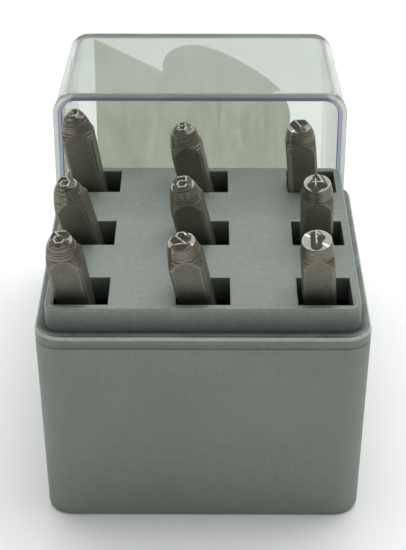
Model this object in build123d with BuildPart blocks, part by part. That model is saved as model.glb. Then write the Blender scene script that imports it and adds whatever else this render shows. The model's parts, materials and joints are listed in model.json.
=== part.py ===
"""Boxed set of nine steel number stamps: tub, pocket rack, clear lid and nine loose punches.

Frame: origin at the centre of the tub's underside, X to the right, Y to the back, Z up, millimetres.
"""
from build123d import *
from math import atan, cos, degrees, radians, sin, tan
import os

os.makedirs("parts", exist_ok=True)

# ---- driving dimensions -------------------------------------------------------------
PITCH = 23.0            # spacing of the nine pockets, both ways
POCKET = 10.28          # side of one square pocket
SHANK = 6.35            # 1/4 in square bar stock
PUNCH_LENGTH = 60.0     # struck end to character tip

TUB_HEIGHT = 40.0
TUB_WALL = 1.9
TUB_FLOOR = 2.6
TUB_DRAFT = 1.1         # degrees per side
TUB_CORNER = 5.2
TUB_SKIRT_STEP = 0.7    # rounding around the underside

COLLAR_MARGIN = 1.66    # collar's side beyond the outermost pockets
FLANGE_LEDGE = 2.1      # flat left around the collar
FLANGE_HEIGHT = 2.3
COLLAR_HEIGHT = 5.2
COLLAR_CORNER = 2.8
FLANGE_ROUND = 0.6
COLLAR_ROUND = 0.7
POCKET_BREAK = 0.25     # broken edge around each pocket mouth
PLATE = 2.0             # thickness of the plate the pockets pierce
GUIDE_WALL = 1.1
GUIDE_DEPTH = 5.2       # how far the pocket guides reach below the collar top
SKIRT_DEPTH = 6.0       # locating skirt below the flange

LID_OVERHANG = 0.0      # lid's bead beyond the flange, each side
LID_DEPTH = 39.2
LID_WALL = 1.8
LID_DRAFT = 0.8         # degrees per side
LID_CORNER = 4.8
LID_BEAD = 0.15         # bead stands this far proud of the wall
LID_BEAD_WIDTH = 1.8
LID_SHIFT = -0.9        # the loose lid stands a little left of centre
CROWN_ROUND = 1.2
SHEET_LEFT = 0.815      # backing sheet's edges, as shares of the crown's half side
SHEET_RIGHT = 0.696
SHEET_BOTTOM = 0.709
SHEET_PEAK = 0.915
SHEET_THICKNESS = 0.15

HEAD_FACE_R = 2.4       # round face that carries the character
HEAD_NECK = 3.6         # turned length measured down the middle of a flat
HEAD_SHOULDER = 5.6     # turned length measured down a corner
EDGE_BREAK = 0.45       # broken long edges of the bar
FOOT_CHAMFER = 0.8
CHAR_HEIGHT = 3.0
CHAR_WIDTH = 1.9
CHAR_RELIEF = 1.0
CHAR_STROKE = 0.42

# ---- clearances ---------------------------------------------------------------------
SEAM = 0.1              # rack flange over the tub rim
SKIRT_GAP = 0.25        # skirt inside the tub
TOUCH = 0.18            # leaning bar off the pocket edge it rests on
FOOT_GAP = 0.06         # punch foot off the tub floor
FOOT_SLACK = 0.1        # how far the foot's broken edges let it lean nearer to the wall
LID_GAP = 0.15          # lid rim off the back of the tub
LID_REST = 0.02         # lid off the table
SHEET_GAP = 0.02        # sheet off the crown it is stuck to

COLLAR_SIDE = 2 * PITCH + POCKET + 2 * COLLAR_MARGIN
FLANGE_SIDE = COLLAR_SIDE + 2 * FLANGE_LEDGE
LID_SIDE = FLANGE_SIDE + 2 * LID_OVERHANG
FLANGE_BASE = TUB_HEIGHT + SEAM
FLANGE_TOP = FLANGE_BASE + FLANGE_HEIGHT
RACK_TOP = FLANGE_TOP + COLLAR_HEIGHT
TUB_BOTTOM_SIDE = FLANGE_SIDE - 2 * TUB_HEIGHT * tan(radians(TUB_DRAFT))


def outline(plane, side, corner):
    """A square with rounded corners lying on the given plane."""
    with BuildSketch(plane) as drawn:
        RectangleRounded(side, side, corner)
    return drawn.sketch


def widening(z, side, height, draft, corner):
    """Lower and upper outline of a square block that widens upward by the draft angle."""
    upper_side = side + 2 * height * tan(radians(draft))
    lower = outline(Plane.XY.offset(z), side, corner)
    upper = outline(Plane.XY.offset(z + height), upper_side, corner)
    return [lower, upper]


# ---- tub ----------------------------------------------------------------------------
with BuildPart() as case_tub:
    loft(widening(0, TUB_BOTTOM_SIDE, TUB_HEIGHT, TUB_DRAFT, TUB_CORNER))
    underside = case_tub.faces().sort_by(Axis.Z)[0]
    fillet(underside.edges(), TUB_SKIRT_STEP)
    inside = TUB_BOTTOM_SIDE - 2 * TUB_WALL + 2 * TUB_FLOOR * tan(radians(TUB_DRAFT))
    inside_corner = TUB_CORNER - TUB_WALL
    inside_depth = TUB_HEIGHT - TUB_FLOOR
    loft(
        widening(TUB_FLOOR, inside, inside_depth, TUB_DRAFT, inside_corner),
        mode=Mode.SUBTRACT,
    )
case_tub.part.label = "case_tub"
export_step(case_tub.part, "parts/case_tub.step")

# ---- rack ---------------------------------------------------------------------------
TUB_MOUTH = FLANGE_SIDE - 2 * TUB_WALL
SKIRT_TAPER = 2 * (SKIRT_DEPTH + SEAM) * tan(radians(TUB_DRAFT))
SKIRT_SIDE = TUB_MOUTH - SKIRT_TAPER - 2 * SKIRT_GAP
SKIRT_INSIDE = 2 * PITCH + POCKET
SKIRT_CORNER = TUB_CORNER - TUB_WALL - SKIRT_GAP

with BuildPart() as punch_rack:
    extrude(outline(Plane.XY.offset(FLANGE_BASE), FLANGE_SIDE, TUB_CORNER), amount=FLANGE_HEIGHT)
    fillet(punch_rack.faces().sort_by(Axis.Z)[-1].edges(), FLANGE_ROUND)
    extrude(outline(Plane.XY.offset(FLANGE_TOP), COLLAR_SIDE, COLLAR_CORNER), amount=COLLAR_HEIGHT)
    fillet(punch_rack.faces().sort_by(Axis.Z)[-1].edges(), COLLAR_ROUND)
    extrude(outline(Plane.XY.offset(FLANGE_BASE), SKIRT_SIDE, SKIRT_CORNER), amount=-SKIRT_DEPTH)
    hollow_base = Plane.XY.offset(FLANGE_BASE - SKIRT_DEPTH)
    hollow_height = SKIRT_DEPTH + FLANGE_HEIGHT + COLLAR_HEIGHT - PLATE
    extrude(
        outline(hollow_base, SKIRT_INSIDE, SKIRT_CORNER - GUIDE_WALL),
        amount=hollow_height,
        mode=Mode.SUBTRACT,
    )
    with BuildSketch(Plane.XY.offset(RACK_TOP - GUIDE_DEPTH)):
        Rectangle(SKIRT_INSIDE + 0.4, SKIRT_INSIDE + 0.4)
        gap = PITCH - POCKET - 2 * GUIDE_WALL
        for centre in (-PITCH / 2, PITCH / 2):
            with Locations((centre, 0)):
                Rectangle(gap, SKIRT_INSIDE, mode=Mode.SUBTRACT)
            with Locations((0, centre)):
                Rectangle(SKIRT_INSIDE, gap, mode=Mode.SUBTRACT)
    extrude(amount=GUIDE_DEPTH - PLATE + 0.5)
    with BuildSketch(Plane.XY.offset(RACK_TOP)):
        with GridLocations(PITCH, PITCH, 3, 3):
            Rectangle(POCKET, POCKET)
    extrude(amount=-GUIDE_DEPTH - FLANGE_HEIGHT - SKIRT_DEPTH, mode=Mode.SUBTRACT)
    plate_face = punch_rack.faces().sort_by(Axis.Z)[-1]
    mouth_edges = [edge for wire in plate_face.inner_wires() for edge in wire.edges()]
    chamfer(mouth_edges, POCKET_BREAK)
punch_rack.part.label = "punch_rack"
export_step(punch_rack.part, "parts/punch_rack.step")

# ---- lid, standing on one side behind the tub, open toward it -----------------------------
LID_WALL_SIDE = LID_SIDE - 2 * LID_BEAD
LID_BACK_SIDE = LID_WALL_SIDE - 2 * LID_DEPTH * tan(radians(LID_DRAFT))
LID_TILT = LID_DRAFT + degrees(atan(LID_BEAD / (LID_DEPTH - LID_BEAD_WIDTH)))
LID_RIM_Y = TUB_BOTTOM_SIDE / 2 + LID_GAP
RIM_CENTRE = (
    LID_SHIFT,
    LID_RIM_Y + LID_SIDE / 2 * sin(radians(LID_TILT)),
    LID_SIDE / 2 * cos(radians(LID_TILT)) + LID_BEAD_WIDTH * sin(radians(LID_TILT)) + LID_REST,
)
LID_AXIS = Vector(0, cos(radians(LID_TILT)), -sin(radians(LID_TILT)))
rim_plane = Plane(origin=RIM_CENTRE, x_dir=(1, 0, 0), z_dir=LID_AXIS)
back_plane = rim_plane.offset(LID_DEPTH)

with BuildPart() as clear_lid:
    loft(
        [
            outline(rim_plane, LID_WALL_SIDE, LID_CORNER),
            outline(back_plane, LID_BACK_SIDE, LID_CORNER),
        ]
    )
    fillet(clear_lid.faces().sort_by(Axis.Y)[-1].edges(), CROWN_ROUND)
    extrude(outline(rim_plane, LID_SIDE, LID_CORNER + LID_BEAD), amount=LID_BEAD_WIDTH)
    inner_back = LID_BACK_SIDE - 2 * LID_WALL + 2 * LID_WALL * tan(radians(LID_DRAFT))
    loft(
        [
            outline(rim_plane, LID_WALL_SIDE - 2 * LID_WALL, LID_CORNER - LID_WALL),
            outline(rim_plane.offset(LID_DEPTH - LID_WALL), inner_back, LID_CORNER - LID_WALL),
        ],
        mode=Mode.SUBTRACT,
    )
clear_lid.part.label = "clear_lid"
export_step(clear_lid.part, "parts/clear_lid.step")

# ---- thin backing sheet stuck on the outside of the crown, its upper edge torn unevenly ----
sheet_plane = Plane(
    origin=back_plane.origin + LID_AXIS * SHEET_GAP,
    x_dir=(-1, 0, 0),
    z_dir=LID_AXIS,
)

CROWN_HALF = LID_BACK_SIDE / 2


def on_crown(across, up):
    """A point of the sheet, from its shares of the crown's half side."""
    return (across * CROWN_HALF, up * CROWN_HALF)


PEAK = on_crown(SHEET_LEFT, SHEET_PEAK)
DIP = on_crown(0.29, 0.654)
HUMP = [DIP, on_crown(0.26, 0.79), on_crown(0.095, 0.866), on_crown(-0.084, 0.838)]
SLOPE = [on_crown(-0.341, 0.715), on_crown(-0.538, 0.585), on_crown(-0.625, 0.50)]
CORNER = [SLOPE[-1], on_crown(-0.678, 0.41), on_crown(-SHEET_RIGHT, 0.3)]

with BuildPart() as lid_sheet:
    with BuildSketch(sheet_plane):
        with BuildLine():
            Line(on_crown(SHEET_LEFT, -SHEET_BOTTOM), PEAK)
            Line(PEAK, DIP)
            Spline(*HUMP, *SLOPE)
            Spline(*CORNER)
            Line(CORNER[-1], on_crown(-SHEET_RIGHT, -SHEET_BOTTOM))
            Line(on_crown(-SHEET_RIGHT, -SHEET_BOTTOM), on_crown(SHEET_LEFT, -SHEET_BOTTOM))
        make_face()
    extrude(amount=SHEET_THICKNESS)
lid_sheet.part.label = "lid_sheet"
export_step(lid_sheet.part, "parts/lid_sheet.step")

# ---- stamps -------------------------------------------------------------------------
# character: (column, row, lean to the left, lean to the front, left gap, front gap, proud)
# leans in degrees; the gaps are from the bar to the pocket's left and front edges at the mouth;
# proud is how far the stamp stands above the tub floor because it is wedged in its pocket.
STAMPS = {
    "3": (-1, -1, 7.3, 15.2, TOUCH, 2.0, 0.0),
    "2": (0, -1, 10.5, 15.0, TOUCH, 2.1, 0.0),
    "1": (1, -1, 4.7, 15.2, 0.92, 2.1, 0.0),
    "6": (-1, 0, 11.0, 14.4, TOUCH, 2.0, 0.0),
    "5": (0, 0, 11.2, 14.8, TOUCH, 2.1, 0.0),
    "4": (1, 0, 2.0, 15.0, 1.77, 2.1, 0.0),
    "0": (-1, 1, 9.0, 3.6, TOUCH, 1.7, 1.9),
    "8": (0, 1, 11.8, 4.9, TOUCH, 0.3, 0.0),
    "7": (1, 1, 5.2, 4.8, TOUCH, 0.25, 0.0),
}

# character strokes in a box one wide and one high, read the right way round
STROKES = {
    "0": ["-.3 .5, .3 .5, .5 .2, .5 -.2, .3 -.5, -.3 -.5, -.5 -.2, -.5 .2, -.3 .5"],
    "1": ["-.3 .2, .05 .5, .05 -.5"],
    "2": ["-.5 .25, -.25 .5, .25 .5, .5 .25, -.5 -.5, .5 -.5"],
    "3": ["-.5 .5, .45 .5, 0 .1, .35 .1, .5 -.15, .3 -.5, -.3 -.5, -.5 -.3"],
    "4": ["-.1 .5, -.5 -.2, .5 -.2", ".2 .1, .2 -.5"],
    "5": [".45 .5, -.4 .5, -.45 .05, .25 .1, .5 -.15, .3 -.5, -.3 -.5, -.5 -.3"],
    "6": [".35 .5, -.2 .35, -.5 -.1, -.3 -.5, .3 -.5, .5 -.2, .3 .05, -.45 0"],
    "7": ["-.5 .5, .5 .5, -.15 -.5"],
    "8": [
        "-.3 .5, .3 .5, .42 .28, .3 .05, -.3 .05, -.42 .28, -.3 .5",
        "-.3 .05, -.5 -.22, -.3 -.5, .3 -.5, .5 -.22, .3 .05",
    ],
}


def stroke_points(text):
    """Turn one stroke into points, mirrored left to right as a stamp must be."""
    pairs = [pair.split() for pair in text.split(",")]
    return [Vector(-float(x) * CHAR_WIDTH, float(y) * CHAR_HEIGHT) for x, y in pairs]


def draw_stroke(points):
    """Rounded bars joined end to end along the points."""
    for start, end in zip(points, points[1:]):
        middle = (start + end) * 0.5
        run = end - start
        angle = Vector(1, 0, 0).get_signed_angle(run, Vector(0, 0, 1))
        with Locations(Location((middle.X, middle.Y), angle)):
            SlotCenterToCenter(run.length, CHAR_STROKE)


def lean_within(lean, mouth, depth):
    """The lean in degrees, less if the foot would otherwise reach the tub's inner wall."""
    inner_half = TUB_BOTTOM_SIDE / 2 - TUB_WALL + TUB_FLOOR * tan(radians(TUB_DRAFT))
    room = inner_half - (SHANK / 2 - FOOT_SLACK) - mouth
    return min(lean, degrees(atan(room / depth)))


def stamp_plane(column, row, left, front, left_gap, front_gap, proud):
    """Where one stamp stands: its foot centre, with Z running up the leaning bar."""
    depth = RACK_TOP - TUB_FLOOR
    left = lean_within(left, column * PITCH - POCKET / 2 + left_gap + SHANK / 2, depth)
    front = lean_within(front, row * PITCH - POCKET / 2 + front_gap + SHANK / 2, depth)
    up = Vector(-tan(radians(left)), -tan(radians(front)), 1).normalized()
    mouth = Vector(
        column * PITCH - POCKET / 2 + left_gap + SHANK / 2 / cos(radians(left)),
        row * PITCH - POCKET / 2 + front_gap + SHANK / 2 / cos(radians(front)),
        RACK_TOP,
    )
    side = (Vector(1, 0, 0) - up * up.X).normalized()
    back = up.cross(side)
    end_drop = (SHANK / 2 - FOOT_CHAMFER) * (abs(side.Z) + abs(back.Z))
    edge_drop = SHANK / 2 * (abs(side.Z) + abs(back.Z)) - FOOT_CHAMFER * up.Z
    foot_z = TUB_FLOOR + FOOT_GAP + max(end_drop, edge_drop) + proud
    foot = mouth - up * ((RACK_TOP - foot_z) / up.Z)
    return Plane(origin=foot, x_dir=side, z_dir=up)


for character, stance in STAMPS.items():
    bar_plane = stamp_plane(*stance)
    turn_plane = Plane(
        origin=bar_plane.origin,
        x_dir=bar_plane.x_dir,
        z_dir=bar_plane.x_dir.cross(bar_plane.z_dir),
    )
    face_height = PUNCH_LENGTH - CHAR_RELIEF
    with BuildPart() as punch:
        with BuildSketch(bar_plane):
            Rectangle(SHANK, SHANK)
            chamfer(vertices(), EDGE_BREAK)
        extrude(amount=face_height)
        with BuildSketch(turn_plane):
            with BuildLine():
                Line((0, 0), (SHANK / 2 - 0.4, 0))
                Line((SHANK / 2 - 0.4, 0), (5.0, 2.4))
                Line((5.0, 2.4), (5.0, PUNCH_LENGTH - HEAD_SHOULDER - 1.1))
                ThreePointArc(
                    (5.0, PUNCH_LENGTH - HEAD_SHOULDER - 1.1),
                    (3.6, PUNCH_LENGTH - HEAD_SHOULDER + 0.9),
                    (SHANK / 2 - 0.04, PUNCH_LENGTH - HEAD_NECK),
                )
                ThreePointArc(
                    (SHANK / 2 - 0.04, PUNCH_LENGTH - HEAD_NECK),
                    (2.98, PUNCH_LENGTH - HEAD_NECK / 2),
                    (HEAD_FACE_R, face_height),
                )
                Line((HEAD_FACE_R, face_height), (0, face_height))
                Line((0, face_height), (0, 0))
            make_face()
        revolve(axis=Axis(bar_plane.origin, bar_plane.z_dir), mode=Mode.INTERSECT)
        with BuildSketch(bar_plane.offset(face_height - 0.2)):
            for stroke in STROKES[character]:
                draw_stroke(stroke_points(stroke))
        extrude(amount=CHAR_RELIEF + 0.2)
    punch.part.label = f"punch_{character}"
    export_step(punch.part, f"parts/punch_{character}.step")
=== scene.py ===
"""Looks for the boxed number stamp set: tub, rack, clear lid with its sheet, and nine stamps."""

import json
from math import atan, atan2, cos, hypot, pi, radians, sin, tan

import bmesh
import bpy
from mathutils import Matrix, Vector


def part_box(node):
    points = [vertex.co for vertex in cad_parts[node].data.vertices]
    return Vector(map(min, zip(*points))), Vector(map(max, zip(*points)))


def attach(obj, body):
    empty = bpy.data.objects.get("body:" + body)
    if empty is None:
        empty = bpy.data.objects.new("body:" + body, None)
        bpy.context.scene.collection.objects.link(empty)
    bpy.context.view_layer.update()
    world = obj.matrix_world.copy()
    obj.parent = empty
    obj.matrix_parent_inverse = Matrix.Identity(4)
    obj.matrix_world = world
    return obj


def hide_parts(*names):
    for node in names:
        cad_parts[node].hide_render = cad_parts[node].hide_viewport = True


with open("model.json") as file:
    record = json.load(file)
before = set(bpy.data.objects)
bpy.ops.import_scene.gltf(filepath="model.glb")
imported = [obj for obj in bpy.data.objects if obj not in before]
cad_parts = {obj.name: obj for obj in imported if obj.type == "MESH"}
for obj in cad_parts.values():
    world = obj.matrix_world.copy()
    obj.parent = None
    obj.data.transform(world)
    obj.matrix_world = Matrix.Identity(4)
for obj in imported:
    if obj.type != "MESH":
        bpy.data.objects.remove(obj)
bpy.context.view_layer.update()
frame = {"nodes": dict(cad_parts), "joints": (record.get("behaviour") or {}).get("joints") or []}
MM = 0.001


# ---------------------------------------------------------------- sizes, in millimetres
TUB_HEIGHT = 40.0
TUB_WALL = 1.9
TUB_FLOOR = 2.6
TUB_DRAFT = 1.1  # degrees per side
TUB_CORNER = 5.2
TUB_UNDER_ROUND = 0.9
TUB_LIP_ROUND = 0.3  # outer edge of the mouth
TUB_MOUTH_ROUND = 0.2  # inner edge of the mouth
TUB_FLOOR_ROUND = 0.8  # inside, where the walls meet the floor

LID_SIDE = 63.8
LID_DEPTH = 39.2
LID_WALL = 1.8
LID_DRAFT = 0.8  # degrees per side
LID_CORNER = 4.8
LID_BEAD = 0.15  # how far the bead stands proud of the wall
LID_BEAD_WIDTH = 1.8
LID_BEAD_STEP = (-0.15, 0.1)  # where the bead's step starts and ends, from its width
LID_RIM_ROUND = 0.3
LID_RIM_BREAK = 0.2  # inner edge of the rim
LID_RIM_SPLIT = 0.45  # share of the wall where the rim changes colour
LID_MOUTH_DEPTH = 0.35  # how far in the inner wall starts
LID_CROWN_ROUND = 1.0
LID_INNER_ROUND = 0.7
LEAST_CORNER = 0.05

SHANK = 6.35
EDGE_BREAK = 0.45
FOOT_CHAMFER = 0.8
FOOT_INSET = 0.4
FOOT_SLOPE = 0.9
PUNCH_LENGTH = 60.0
CHAR_RELIEF = 1.0
CHAR_HEIGHT = 3.0
CHAR_WIDTH = 1.9

# ---------------------------------------------------------------- fineness of the meshes
WELD_DISTANCE = 1e-7
SMOOTH_ANGLE = 30.0
STAMP_SMOOTH_ANGLE = 26
CORNER_STEPS = 8
RING_POINTS = 4 * (CORNER_STEPS + 1)


# ---------------------------------------------------------------- mesh helpers
def weld(mesh):
    """Joins doubled points and turns every face outwards."""
    bm = bmesh.new()
    bm.from_mesh(mesh)
    bmesh.ops.remove_doubles(bm, verts=bm.verts, dist=WELD_DISTANCE)
    bmesh.ops.recalc_face_normals(bm, faces=bm.faces)
    bm.to_mesh(mesh)
    bm.free()


def mesh_from(name, verts, faces):
    """A mesh from points in millimetres."""
    mesh = bpy.data.meshes.new(name)
    mesh.from_pydata([Vector(v) * MM for v in verts], [], faces)
    return mesh


def finish_mesh(name, mesh):
    """An object with this mesh, welded and smoothly shaded between its sharp edges."""
    weld(mesh)
    for poly in mesh.polygons:
        poly.use_smooth = True
    mesh.set_sharp_from_angle(angle=radians(SMOOTH_ANGLE))
    obj = bpy.data.objects.new(name, mesh)
    bpy.context.scene.collection.objects.link(obj)
    weighted = obj.modifiers.new("weighted", "WEIGHTED_NORMAL")
    weighted.keep_sharp = True
    return obj


def copy_of(node, name):
    """A piece with a CAD node's own shape, which stands for it in a better material."""
    mesh = frame["nodes"][node].data.copy()
    mesh.materials.clear()
    obj = finish_mesh(name, mesh)
    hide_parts(node)
    return obj


def rounded_square(half, corner):
    """Points around a square with rounded corners, counter-clockwise."""
    points = []
    inner = half - corner
    for quarter, (sx, sy) in enumerate(((1, 1), (-1, 1), (-1, -1), (1, -1))):
        for k in range(CORNER_STEPS + 1):
            a = (quarter + k / CORNER_STEPS) * pi / 2
            points.append((sx * inner + corner * cos(a), sy * inner + corner * sin(a)))
    return points


def ring_points(rings):
    """Points of rounded squares given as (half side, corner radius, height)."""
    verts = []
    for half, corner, z in rings:
        for x, y in rounded_square(half, max(corner, LEAST_CORNER)):
            verts.append((x, y, z))
    return verts


def strip(first, second, count):
    """Faces between two rings of points, which start at these places."""
    faces = []
    for k in range(count):
        n = (k + 1) % count
        faces.append((first + k, first + n, second + n, second + k))
    return faces


def box_shell(name, rings):
    """A closed shell through rings of (half side, corner radius, height), both ends capped."""
    faces = []
    for r in range(len(rings) - 1):
        faces += strip(r * RING_POINTS, (r + 1) * RING_POINTS, RING_POINTS)
    faces.append(tuple(reversed(range(RING_POINTS))))
    faces.append(tuple(range((len(rings) - 1) * RING_POINTS, len(rings) * RING_POINTS)))
    return finish_mesh(name, mesh_from(name, ring_points(rings), faces))


def arc_steps(start, end, count):
    """Angles in radians, evenly spaced between two given in degrees."""
    return [radians(start + (end - start) * k / count) for k in range(count + 1)]


# ---------------------------------------------------------------- material helpers
# places of the sockets that a colour mix shares with the node's other data types
MIX_FACTOR, MIX_A, MIX_B, MIX_RESULT = 0, 6, 7, 2


def scaled(color, share):
    return tuple(v * share for v in color)


class Nodes:
    """Short hand for building one procedural material."""

    def __init__(self, name):
        self.material = bpy.data.materials.new(name)
        self.material.use_nodes = True
        self.tree = self.material.node_tree
        self.shader = self.tree.nodes["Principled BSDF"]
        self.coords = self.add("ShaderNodeTexCoord").outputs["Object"]

    def add(self, kind, **values):
        node = self.tree.nodes.new(kind)
        for key, value in values.items():
            setattr(node, key, value)
        return node

    def link(self, source, target):
        self.tree.links.new(source, target)

    def feed(self, value, socket):
        """Sets a socket to a number or a colour, or links another node to it."""
        if isinstance(value, (int, float)):
            socket.default_value = value
        elif isinstance(value, tuple):
            socket.default_value = (*value, 1.0)
        else:
            self.link(value, socket)

    def set(self, **values):
        for key, value in values.items():
            self.shader.inputs[key.replace("_", " ")].default_value = value

    def noise(self, scale, detail=4.0, roughness=0.55, coords=None, distortion=0.0):
        node = self.add("ShaderNodeTexNoise")
        node.inputs["Scale"].default_value = scale
        node.inputs["Detail"].default_value = detail
        node.inputs["Roughness"].default_value = roughness
        node.inputs["Distortion"].default_value = distortion
        self.link(coords or self.coords, node.inputs["Vector"])
        return node.outputs["Fac"]

    def stretched(self, scale):
        node = self.add("ShaderNodeMapping")
        node.inputs["Scale"].default_value = scale
        self.link(self.coords, node.inputs["Vector"])
        return node.outputs["Vector"]

    def ramp(self, source, stops):
        node = self.add("ShaderNodeValToRGB")
        elements = node.color_ramp.elements
        while len(elements) < len(stops):
            elements.new(0.5)
        for element, (place, value) in zip(elements, stops):
            element.position = place
            if isinstance(value, (int, float)):
                value = (value, value, value)
            element.color = (*value, 1.0)
        self.link(source, node.inputs["Fac"])
        return node.outputs["Color"]

    def span(self, source, low, high):
        node = self.add("ShaderNodeMapRange")
        node.inputs["To Min"].default_value = low
        node.inputs["To Max"].default_value = high
        self.link(source, node.inputs["Value"])
        return node.outputs["Result"]

    def mix(self, factor, a, b, blend="MIX"):
        node = self.add("ShaderNodeMix", data_type="RGBA", blend_type=blend)
        for value, place in ((factor, MIX_FACTOR), (a, MIX_A), (b, MIX_B)):
            self.feed(value, node.inputs[place])
        return node.outputs[MIX_RESULT]

    def maths(self, operation, a, b):
        node = self.add("ShaderNodeMath", operation=operation)
        self.feed(a, node.inputs[0])
        self.feed(b, node.inputs[1])
        return node.outputs[0]

    def bump(self, height, strength, distance, below=None):
        node = self.add("ShaderNodeBump")
        node.inputs["Strength"].default_value = strength
        node.inputs["Distance"].default_value = distance
        self.link(height, node.inputs["Height"])
        if below:
            self.link(below, node.inputs["Normal"])
        return node.outputs["Normal"]

    def edges(self):
        """Bright on convex edges, dark in corners."""
        return self.add("ShaderNodeNewGeometry").outputs["Pointiness"]

    def finish(self, color, roughness, normal=None):
        self.link(color, self.shader.inputs["Base Color"])
        self.link(roughness, self.shader.inputs["Roughness"])
        if normal:
            self.link(normal, self.shader.inputs["Normal"])
        return self.material


# ---------------------------------------------------------------- materials
BAND_LOW = 40.0
BAND_HIGH = 48.0
BAND_WAVER = 0.00004


def painted_light_by_height(n, stops):
    """A grey factor that follows height, given as (millimetres, factor).

    It paints light and shade into the rack's colour: a painted highlight along the flange's upper
    edge and the collar's top edge, a painted shade line at the collar's foot, painted shade up the
    collar's lower part, and a little darker below the flange's edge. The factors were matched to
    the rack's look.
    """
    split = n.add("ShaderNodeSeparateXYZ")
    n.link(n.coords, split.inputs[0])
    band = n.add("ShaderNodeMapRange")
    band.inputs["From Min"].default_value = BAND_LOW * MM
    band.inputs["From Max"].default_value = BAND_HIGH * MM
    waver = n.span(n.noise(170, detail=4), -BAND_WAVER, BAND_WAVER)
    n.link(n.maths("ADD", split.outputs[2], waver), band.inputs["Value"])
    places = [((z - BAND_LOW) / (BAND_HIGH - BAND_LOW), value) for z, value in stops]
    return n.ramp(band.outputs["Result"], places)


def moulded_plastic(name, base, rough, grain, grain_bump, ripple, heights=None):
    """Grey moulded plastic: fine grain, soft ripples, lighter edges and faint smudges."""
    n = Nodes(name)
    clouds = [(0.32, scaled(base, 0.9)), (0.7, scaled(base, 1.08))]
    cloud = n.ramp(n.noise(38, detail=5, roughness=0.6), clouds)
    speck = n.ramp(n.noise(grain, detail=3, roughness=0.7), [(0.3, 0.86), (0.7, 1.08)])
    color = n.mix(1.0, cloud, speck, "MULTIPLY")
    rub = n.ramp(n.edges(), [(0.505, 0.0), (0.56, 1.0)])
    patches = n.span(n.noise(420, detail=4, roughness=0.6), low=0.1, high=0.5)
    color = n.mix(n.maths("MULTIPLY", rub, patches), color, scaled(base, 1.45))
    # painted light and shade by height, used for the rack
    if heights:
        color = n.mix(1.0, color, painted_light_by_height(n, heights), "MULTIPLY")
    smear = n.noise(26, detail=4, roughness=0.65, distortion=0.6)
    smudge = n.span(smear, low=rough - 0.09, high=rough + 0.11)
    ripples = n.bump(n.noise(48, detail=2, roughness=0.4), strength=0.25, distance=ripple)
    grains = n.noise(grain, detail=3, roughness=0.6)
    normal = n.bump(grains, strength=0.35, distance=grain_bump, below=ripples)
    n.set(Specular_IOR_Level=0.5)
    return n.finish(color, smudge, normal)


def clear_plastic(name, low, high, clear):
    """Clear polystyrene with a faint cast, slightly milky, with light scuffs and scratches."""
    n = Nodes(name)
    n.set(Transmission_Weight=clear, IOR=1.45)
    tint = n.ramp(n.noise(30, detail=3, roughness=0.5), [(0.3, low), (0.7, high)])
    haze = n.noise(240, detail=6, roughness=0.7, distortion=0.8)
    scuff = n.ramp(haze, [(0.5, 0.02), (0.72, 0.13)])
    long_way = n.stretched((2600, 90, 140))
    scratch = n.noise(1.0, detail=4, roughness=0.6, coords=long_way, distortion=0.3)
    scratches = n.ramp(scratch, [(0.6, 0.0), (0.68, 0.10)])
    rough = n.maths("ADD", scuff, scratches)
    normal = n.bump(n.noise(42, detail=2, roughness=0.4), strength=0.2, distance=0.0002)
    return n.finish(tint, rough, normal)


def paper_film():
    """Plain grey-beige film that lets light through, with cloudy patches and fine fibres. On the
    crown its ragged upper part is painted shadow, a sheet standing where shadow falls.
    """
    n = Nodes("paper_film")
    patch = n.noise(70, detail=5, roughness=0.7, distortion=0.6)
    long_way = n.stretched((420, 420, 95))
    streak = n.noise(1.0, detail=4, roughness=0.6, coords=long_way, distortion=0.4)
    cloud = n.ramp(
        n.maths("ADD", n.maths("MULTIPLY", patch, 0.45), n.maths("MULTIPLY", streak, 0.55)),
        [(0.36, (0.62, 0.64, 0.54)), (0.5, (0.74, 0.755, 0.66)), (0.62, (0.86, 0.865, 0.77))],
    )
    fibre = n.ramp(n.noise(900, detail=5, roughness=0.7), [(0.3, 0.92), (0.7, 1.05)])
    color = n.mix(1.0, cloud, fibre, "MULTIPLY")
    rough = n.span(n.noise(200, detail=4), low=0.7, high=0.9)
    normal = n.bump(n.noise(700, detail=4, roughness=0.7), strength=0.4, distance=0.00006)
    n.set(Transmission_Weight=0.72, IOR=1.3)
    return n.finish(color, rough, normal)


TARNISH = (0.20, 0.15, 0.09)
RUST = (0.20, 0.115, 0.06)


def tool_steel(name, base, bright, rough, grain_depth, metallic, rusty=0.1):
    """Satin steel: fine grain, brighter edges, brown tarnish and a little rust."""
    n = Nodes(name)
    n.set(Metallic=metallic)
    tones = [(0.3, scaled(base, 0.8)), (0.72, scaled(base, 1.05))]
    tone = n.ramp(n.noise(300, detail=5, roughness=0.6), tones)
    speck = n.ramp(n.noise(2800, detail=3, roughness=0.7), [(0.3, 0.78), (0.7, 1.18)])
    tone = n.mix(1.0, tone, speck, "MULTIPLY")
    stain = n.noise(150, detail=4, roughness=0.6, distortion=0.5)
    color = n.mix(n.ramp(stain, [(0.55, 0.0), (0.75, 0.35)]), tone, TARNISH)
    rust = n.ramp(n.noise(420, detail=3, roughness=0.5), [(0.62, 0.0), (0.7, rusty)])
    color = n.mix(rust, color, RUST)
    rub = n.ramp(n.edges(), [(0.51, 0.0), (0.58, 1.0)])
    patches = n.span(n.noise(1500, detail=3), low=0.45, high=1.0)
    color = n.mix(n.maths("MULTIPLY", rub, patches), color, bright)
    satin = n.noise(700, detail=5, roughness=0.65)
    roughness = n.span(satin, low=rough - 0.1, high=rough + 0.12)
    grains = n.noise(2600, detail=4, roughness=0.7)
    normal = n.bump(grains, strength=0.6, distance=grain_depth)
    return n.finish(color, roughness, normal)


# painted highlight and shade on the rack by height, in millimetres: bright on the flange's upper
# edge and the collar's top edge, a dark line at the collar's foot, darker up the collar's lower
# part
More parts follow.
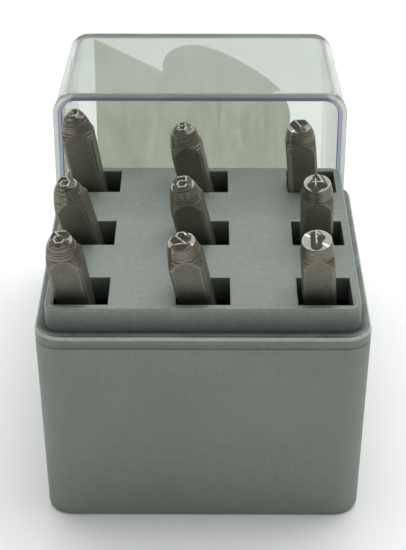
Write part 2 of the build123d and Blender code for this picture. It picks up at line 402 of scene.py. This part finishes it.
RACK_PAINTED_LIGHT = [
    (40.0, 0.86), (41.75, 0.86), (41.88, 2.4), (42.3, 2.4), (42.37, 1.05), (42.44, 0.2),
    (42.7, 0.3), (44.2, 0.5), (45.9, 0.85), (46.8, 1.05), (47.0, 1.3), (47.45, 1.3),
    (47.56, 1.0),
]
TUB_PLASTIC = moulded_plastic(
    "tub_plastic", base=(0.188, 0.214, 0.188), rough=0.5,
    grain=1900, grain_bump=0.00006, ripple=0.0003,
)
RACK_PLASTIC = moulded_plastic(
    "rack_plastic", base=(0.172, 0.197, 0.175), rough=0.38,
    grain=900, grain_bump=0.00002, ripple=0.0006, heights=RACK_PAINTED_LIGHT,
)
CLEAR_PLASTIC = clear_plastic(
    "clear_plastic", low=(0.88, 0.925, 0.885), high=(0.93, 0.965, 0.935), clear=0.88
)
RIM_GREEN = clear_plastic("rim_green", low=(0.74, 0.79, 0.71), high=(0.82, 0.86, 0.79), clear=0.45)
RIM_VIOLET = clear_plastic("rim_violet", low=(0.28, 0.29, 0.50), high=(0.40, 0.41, 0.62), clear=0.4)
FILM_AND_PAINTED_SHADOW = paper_film()
SHANK_STEEL = tool_steel(
    "shank_steel", base=(0.195, 0.195, 0.155), bright=(0.45, 0.44, 0.37),
    rough=0.52, grain_depth=0.00006, metallic=0.8,
)
HEAD_STEEL = tool_steel(
    "head_steel", base=(0.20, 0.19, 0.15), bright=(0.42, 0.40, 0.33),
    rough=0.38, grain_depth=0.00003, metallic=0.95,
)
FACE_STEEL = tool_steel(
    "face_steel", base=(0.18, 0.18, 0.15), bright=(0.7, 0.68, 0.6),
    rough=0.34, grain_depth=0.00002, metallic=1.0, rusty=0.5,
)


def place(obj, body, slot, *materials):
    """Gives a piece its materials and its body; its slot is not used."""
    for material in materials:
        obj.data.materials.append(material)
    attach(obj, body)


# ---------------------------------------------------------------- tub
def build_tub():
    low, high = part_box("case_tub")
    top_half = (high.x - low.x) / MM / 2
    slope = tan(radians(TUB_DRAFT))

    def outer(z):
        return top_half - (TUB_HEIGHT - z) * slope

    rings = []
    for a in arc_steps(-90, 0, 5):
        shrink = TUB_UNDER_ROUND * (1 - cos(a))
        z = TUB_UNDER_ROUND * (1 + sin(a))
        rings.append((outer(z) - shrink, TUB_CORNER - shrink, z))
    lip = TUB_HEIGHT - TUB_LIP_ROUND
    rings.append((outer(lip), TUB_CORNER, lip))
    for a in arc_steps(0, 90, 3)[1:]:
        shrink = TUB_LIP_ROUND * (1 - cos(a))
        z = lip + TUB_LIP_ROUND * sin(a)
        rings.append((outer(TUB_HEIGHT) - shrink, TUB_CORNER - shrink, z))
    for a in arc_steps(90, 0, 2):
        shrink = TUB_WALL - TUB_MOUTH_ROUND * (1 - cos(a))
        z = TUB_HEIGHT - TUB_MOUTH_ROUND + TUB_MOUTH_ROUND * sin(a)
        rings.append((outer(TUB_HEIGHT) - shrink, TUB_CORNER - shrink, z))
    for a in arc_steps(0, 90, 4):
        shrink = TUB_FLOOR_ROUND * (1 - cos(a))
        z = TUB_FLOOR + TUB_FLOOR_ROUND * (1 - sin(a))
        rings.append((outer(z) - TUB_WALL - shrink, TUB_CORNER - TUB_WALL - shrink, z))
    tub = box_shell("tub_shell", rings)
    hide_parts("case_tub")
    place(tub, "case", "tub_plastic", TUB_PLASTIC)


# ---------------------------------------------------------------- lid
WALL_KIND, GREEN_KIND, VIOLET_KIND = 0, 1, 2
GREEN_RINGS = 4  # rings of the rim, from its inner edge, that the green band covers


def lid_rings(half):
    """Rings of the lid from its rim, at height 0, over the crown: outside, then inside."""
    slope = tan(radians(LID_DRAFT))
    wall_half = half - LID_BEAD

    def outer(s):
        return wall_half - s * slope

    split = LID_WALL * LID_RIM_SPLIT
    outside = [
        (wall_half - LID_WALL + LID_RIM_BREAK, LID_CORNER - LID_WALL + LID_RIM_BREAK, 0.0),
        (wall_half - split, LID_CORNER - split, 0.0),
    ]
    bead_corner = LID_CORNER + LID_BEAD
    for a in arc_steps(-90, 0, 4):
        reach = LID_RIM_ROUND * cos(a)
        outside.append((
            half - LID_RIM_ROUND + reach,
            bead_corner - LID_RIM_ROUND + reach,
            LID_RIM_ROUND * (1 + sin(a)),
        ))
    step_start, step_end = (LID_BEAD_WIDTH + shift for shift in LID_BEAD_STEP)
    outside.append((half, bead_corner, step_start))
    outside.append((outer(LID_BEAD_WIDTH), LID_CORNER, step_end))
    for a in arc_steps(0, 90, 6):
        shrink = LID_CROWN_ROUND * (1 - cos(a))
        s = LID_DEPTH - LID_CROWN_ROUND + LID_CROWN_ROUND * sin(a)
        outside.append((outer(s) - shrink, LID_CORNER - shrink, s))
    inside = []
    for a in arc_steps(90, 0, 4):
        shrink = LID_INNER_ROUND * (1 - cos(a))
        s = LID_DEPTH - LID_WALL - LID_INNER_ROUND + LID_INNER_ROUND * sin(a)
        inside.append((outer(s) - LID_WALL - shrink, LID_CORNER - LID_WALL - shrink, s))
    inside.append((outer(LID_MOUTH_DEPTH) - LID_WALL, LID_CORNER - LID_WALL, LID_MOUTH_DEPTH))
    return outside, inside


def build_lid():
    half = LID_SIDE / 2
    outside, inside = lid_rings(half)
    rings = outside + inside
    crown = len(outside)
    faces = []
    kinds = []
    for r in range(len(rings) - 1):
        if r == crown - 1:
            continue
        kind = VIOLET_KIND if r == 0 else GREEN_KIND if r < GREEN_RINGS else WALL_KIND
        kinds += [kind] * RING_POINTS
        faces += strip(r * RING_POINTS, (r + 1) * RING_POINTS, RING_POINTS)
    faces.append(tuple(range((crown - 1) * RING_POINTS, crown * RING_POINTS)))
    faces.append(tuple(range(crown * RING_POINTS, (crown + 1) * RING_POINTS)))
    kinds += [WALL_KIND, WALL_KIND]
    faces += strip((len(rings) - 1) * RING_POINTS, 0, RING_POINTS)
    kinds += [VIOLET_KIND] * RING_POINTS
    lid = finish_mesh("lid_shell", mesh_from("lid_shell", ring_points(rings), faces))
    for poly, kind in zip(lid.data.polygons, kinds):
        poly.material_index = kind

    low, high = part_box("clear_lid")
    tilt = atan(tan(radians(LID_DRAFT)) + LID_BEAD / (LID_DEPTH - LID_BEAD_WIDTH))
    centre = Vector((
        (low.x + high.x) / 2 / MM,
        low.y / MM + half * sin(tilt),
        low.z / MM + half * cos(tilt) + LID_BEAD_WIDTH * sin(tilt),
    ))
    side = Vector((-1, 0, 0))
    up = Vector((0, sin(tilt), cos(tilt)))
    axis = Vector((0, cos(tilt), -sin(tilt)))
    basis = Matrix((side, up, axis)).transposed().to_4x4()
    lid.data.transform(Matrix.Translation(centre * MM) @ basis)
    lid.data.update()
    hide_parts("clear_lid")
    place(lid, "lid", "clear_plastic", CLEAR_PLASTIC, RIM_GREEN, RIM_VIOLET)
    # the crown's grey-beige sheet is partly painted shadow: its ragged upper part stands where
    # shadow falls
    place(copy_of("lid_sheet", "crown_sheet_and_painted_shadow"), "lid", "paper_film", FILM_AND_PAINTED_SHADOW)


# ---------------------------------------------------------------- stamps
# centre lines of each character in a unit box, read the right way round
STROKES = {
    "0": ["-.3 .5, .3 .5, .5 .2, .5 -.2, .3 -.5, -.3 -.5, -.5 -.2, -.5 .2, -.3 .5"],
    "1": ["-.3 .2, .05 .5, .05 -.5"],
    "2": ["-.5 .25, -.25 .5, .25 .5, .5 .25, -.5 -.5, .5 -.5"],
    "3": ["-.5 .5, .45 .5, 0 .1, .35 .1, .5 -.15, .3 -.5, -.3 -.5, -.5 -.3"],
    "4": ["-.1 .5, -.5 -.2, .5 -.2", ".2 .1, .2 -.5"],
    "5": [".45 .5, -.4 .5, -.45 .05, .25 .1, .5 -.15, .3 -.5, -.3 -.5, -.5 -.3"],
    "6": [".35 .5, -.2 .35, -.5 -.1, -.3 -.5, .3 -.5, .5 -.2, .3 .05, -.45 0"],
    "7": ["-.5 .5, .5 .5, -.15 -.5"],
    "8": [
        "-.3 .5, .3 .5, .42 .28, .3 .05, -.3 .05, -.42 .28, -.3 .5",
        "-.3 .05, -.5 -.22, -.3 -.5, .3 -.5, .5 -.22, .3 .05",
    ],
}
# radius of the flat face left around each character by its turned bevel
FACE_RADIUS = {
    "0": 2.15, "1": 2.75, "2": 2.5, "3": 2.25, "4": 2.6, "5": 2.3, "6": 2.1, "7": 2.4, "8": 2.5,
}
SHANK_KIND, HEAD_KIND, FACE_KIND = 0, 1, 2
SIDE_STEPS = 14
FACE_RINGS = 30
FAR = 9.0  # further out than any corner of the bar
FACE_HEIGHT = PUNCH_LENGTH - CHAR_RELIEF
RIDGE_TOP = 0.11  # half the width of a character's stroke at its top
FLANK_SLOPE = 1.05

# the turned head, by distance down from the tip
FACE_BREAK = 0.12
SWELL_DOWN = 2.3
SWELL_SHARE = 0.66
NECK_DOWN = 3.6
SHOULDER_DOWN = 6.7
SHOULDER_RADIUS = 4.8
SHOULDER_STEP = 0.1
BELOW_NECK = [(3.75, 3.27), (4.1, 3.48), (4.7, 3.83), (5.5, 4.2)]

# marks left by turning
GROOVE_START = 0.55
GROOVE_PITCH = 0.56
GROOVE_FADE = 0.3
GROOVE_WANDER = 0.16
WANDER_RATE = 2.3
GROOVE_DEPTH = 0.07
DEPTH_CHANGE = 0.03
CHANGE_RATE = 1.7
GROOVE_SHARPNESS = 4
GROOVE_PHASES = 7

# heights of the points along the bar, and the finer step over the head
BAR_LEVELS = [0.0, 0.25, 0.5, 0.8, 1.2, 3.0, 10.0, 20.0, 30.0, 40.0, 48.0, 53.0]
HEAD_STEP = 0.07
HEAD_FROM = 52


def bar_outline():
    """Points around the square bar with its broken edges."""
    half = SHANK / 2
    flat = half - EDGE_BREAK
    points = []
    for quarter in range(4):
        side = [(half, -flat + 2 * flat * k / SIDE_STEPS) for k in range(SIDE_STEPS + 1)]
        side += [(half - EDGE_BREAK * t, flat + EDGE_BREAK * t) for t in (0.33, 0.67)]
        for x, y in side:
            for _ in range(quarter):
                x, y = -y, x
            points.append((x, y))
    return points


def between(knots, place):
    """Straight-line value between (place, value) knots."""
    for (p0, v0), (p1, v1) in zip(knots, knots[1:]):
        if place <= p1:
            return v0 + (v1 - v0) * max(0.0, (place - p0) / (p1 - p0))
    return knots[-1][1]


def turned_radius(s, face_radius):
    """Radius of the bullet-shaped turned head at height s."""
    half = SHANK / 2
    knots = [
        (CHAR_RELIEF, face_radius),
        (CHAR_RELIEF + FACE_BREAK, face_radius + FACE_BREAK),
        (SWELL_DOWN, face_radius + (half - face_radius) * SWELL_SHARE),
        (NECK_DOWN, half),
        *BELOW_NECK,
        (SHOULDER_DOWN, SHOULDER_RADIUS),
        (SHOULDER_DOWN + SHOULDER_STEP, FAR),
    ]
    return between(knots, PUNCH_LENGTH - s)


def groove(s, angle, phase):
    """Depth of the tool marks left by turning, a shallow irregular spiral."""
    down = PUNCH_LENGTH - s
    first = CHAR_RELIEF + GROOVE_START
    if down < first or down > SHOULDER_DOWN:
        return 0.0
    wander = GROOVE_WANDER * sin(down * WANDER_RATE + phase)
    turn = down / GROOVE_PITCH + angle / (2 * pi) + wander
    wave = 0.5 + 0.5 * cos(2 * pi * turn)
    fade = min(1.0, (down - first) / GROOVE_FADE)
    depth = GROOVE_DEPTH + DEPTH_CHANGE * sin(down * CHANGE_RATE + phase * 2)
    return fade * depth * wave**GROOVE_SHARPNESS


def stroke_points(text):
    """Points of one stroke on the face, mirrored as on a real stamp."""
    pairs = [pair.split() for pair in text.split(",")]
    return [Vector((-float(x) * CHAR_WIDTH, float(y) * CHAR_HEIGHT)) for x, y in pairs]


def relief(point, strokes):
    """Height of the raised character: a narrow top with flanks at about 45 degrees."""
    nearest = FAR
    for points in strokes:
        for start, end in zip(points, points[1:]):
            run = end - start
            along = max(0.0, min(1.0, (point - start).dot(run) / run.length_squared))
            nearest = min(nearest, (point - start - run * along).length)
    return max(0.0, CHAR_RELIEF - max(0.0, nearest - RIDGE_TOP) * FLANK_SLOPE)


def bar_heights():
    count = int((FACE_HEIGHT - BAR_LEVELS[-1]) / HEAD_STEP)
    return BAR_LEVELS + [FACE_HEIGHT - HEAD_STEP * k for k in range(count - 1, -1, -1)]


def stamp_stance(node, body):
    """Foot centre and directions of one leaning stamp, from its joint and its CAD shape."""
    joint = [j for j in frame["joints"] if j["child"] == body][0]
    up = Vector(joint["axis"]).normalized()
    side = (Vector((1, 0, 0)) - up * up.x).normalized()
    back = up.cross(side)
    points = [v.co for v in frame["nodes"][node].data.vertices]
    centre = Vector((0, 0, 0))
    for direction in (side, back):
        reaches = [p.dot(direction) for p in points]
        centre += direction * (min(reaches) + max(reaches)) / 2
    centre += up * min(p.dot(up) for p in points)
    return Matrix.Translation(centre) @ Matrix((side, back, up)).transposed().to_4x4()


def stamp_bar(outline, levels, face_radius, phase):
    """Points, faces and kinds of one stamp up to the rim of its face."""
    count = len(outline)
    verts = []
    cut = []
    for s in levels:
        for x, y in outline:
            reach = hypot(x, y)
            limit = turned_radius(s, face_radius) - groove(s, atan2(y, x), phase)
            if s < FOOT_CHAMFER:
                limit = SHANK / 2 - FOOT_INSET + s * FOOT_SLOPE
            cut.append(limit < reach)
            scale = min(1.0, limit / reach)
            verts.append((x * scale, y * scale, s))
    faces = []
    kinds = []
    for r in range(len(levels) - 1):
        for face in strip(r * count, (r + 1) * count, count):
            faces.append(face)
            turned = levels[r] > HEAD_FROM and any(cut[i] for i in face)
            kinds.append(HEAD_KIND if turned else SHANK_KIND)
    faces.append(tuple(reversed(range(count))))
    kinds.append(SHANK_KIND)
    return verts, faces, kinds


def add_face(verts, faces, top, count, strokes):
    """Adds the face with its raised character inside the rim that starts at top."""
    start = len(verts)
    rim = [(verts[top + k][0], verts[top + k][1]) for k in range(count)]
    for share in [k / FACE_RINGS for k in range(FACE_RINGS, 0, -1)]:
        for x, y in rim:
            point = Vector((x * share, y * share))
            verts.append((point.x, point.y, FACE_HEIGHT + relief(point, strokes)))
    verts.append((0, 0, FACE_HEIGHT + relief(Vector((0, 0)), strokes)))
    for k in range(count):
        n = (k + 1) % count
        faces.append((top + k, top + n, start + n, start + k))
        for r in range(FACE_RINGS - 1):
            a = start + r * count
            faces.append((a + k, a + n, a + count + n, a + count + k))
        a = start + (FACE_RINGS - 1) * count
        faces.append((a + k, a + n, len(verts) - 1))


def build_stamp(character):
    body = "stamp_" + character
    node = "punch_" + character
    name = "stamp_bar_" + character
    outline = bar_outline()
    levels = bar_heights()
    phase = float(ord(character) % GROOVE_PHASES)
    verts, faces, kinds = stamp_bar(outline, levels, FACE_RADIUS[character], phase)
    strokes = [stroke_points(text) for text in STROKES[character]]
    add_face(verts, faces, (len(levels) - 1) * len(outline), len(outline), strokes)
    kinds += [FACE_KIND] * (len(faces) - len(kinds))

    mesh = mesh_from(name, verts, faces)
    for material in (SHANK_STEEL, HEAD_STEEL, FACE_STEEL):
        mesh.materials.append(material)
    for poly, kind in zip(mesh.polygons, kinds):
        poly.material_index = kind
        poly.use_smooth = True
    weld(mesh)
    mesh.set_sharp_from_angle(angle=radians(STAMP_SMOOTH_ANGLE))
    mesh.transform(stamp_stance(node, body))
    stamp = bpy.data.objects.new(name, mesh)
    bpy.context.scene.collection.objects.link(stamp)
    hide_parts(node)
    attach(stamp, body)


# ---------------------------------------------------------------- stage, light and camera
FLOOR_REACH = 3000
FLOOR_DROP = 0.02
WORLD_COLOR = (0.97, 1.0, 0.98, 1)
WORLD_STRENGTH = 0.36
SUN_ENERGY = 2.75
SUN_ANGLE = 74  # degrees across, for soft shadows
SUN_DIRECTION = (-0.10, -0.40, -0.91)
CAMERA_LENS = 102.165
CAMERA_SENSOR = 36.0
CAMERA_CLIP = 0.01
CAMERA_PLACE = (1.0, -277.35, 199.13)
CAMERA_FORWARD = (-0.003485, 0.864054, -0.503388)


def build_stage():
    corners = ((-1, -1), (1, -1), (1, 1), (-1, 1))
    verts = [(x * FLOOR_REACH, y * FLOOR_REACH, -FLOOR_DROP) for x, y in corners]
    floor = finish_mesh("floor", mesh_from("floor", verts, [(0, 1, 2, 3)]))
    n = Nodes("pale_floor")
    tone = n.ramp(n.noise(3, detail=3, roughness=0.5), [(0.3, 0.92), (0.7, 0.95)])
    rough = n.span(n.noise(60, detail=3), low=0.75, high=0.9)
    floor.data.materials.append(n.finish(tone, rough))

    world = bpy.data.worlds.new("studio")
    bpy.context.scene.world = world
    world.use_nodes = True
    background = world.node_tree.nodes["Background"]
    background.inputs["Color"].default_value = WORLD_COLOR
    background.inputs["Strength"].default_value = WORLD_STRENGTH

    sun = bpy.data.lights.new("key", "SUN")
    sun.energy = SUN_ENERGY
    sun.angle = radians(SUN_ANGLE)
    key = bpy.data.objects.new("key", sun)
    key.rotation_euler = Vector(SUN_DIRECTION).to_track_quat("-Z", "Y").to_euler()
    bpy.context.scene.collection.objects.link(key)


def build_camera():
    camera = bpy.data.cameras.new("camera")
    camera.lens = CAMERA_LENS
    camera.sensor_width = CAMERA_SENSOR
    camera.clip_start = CAMERA_CLIP
    obj = bpy.data.objects.new("camera", camera)
    forward = Vector(CAMERA_FORWARD).normalized()
    obj.location = Vector(CAMERA_PLACE) * MM
    obj.rotation_euler = forward.to_track_quat("-Z", "Y").to_euler()
    bpy.context.scene.collection.objects.link(obj)
    bpy.context.scene.camera = obj


build_camera()
build_tub()
place(copy_of("punch_rack", "rack_moulding"), "case", "rack_plastic", RACK_PLASTIC)
build_lid()
for name in sorted(STROKES):
    build_stamp(name)
build_stage()
bpy.context.scene.view_settings.view_transform = "Standard"
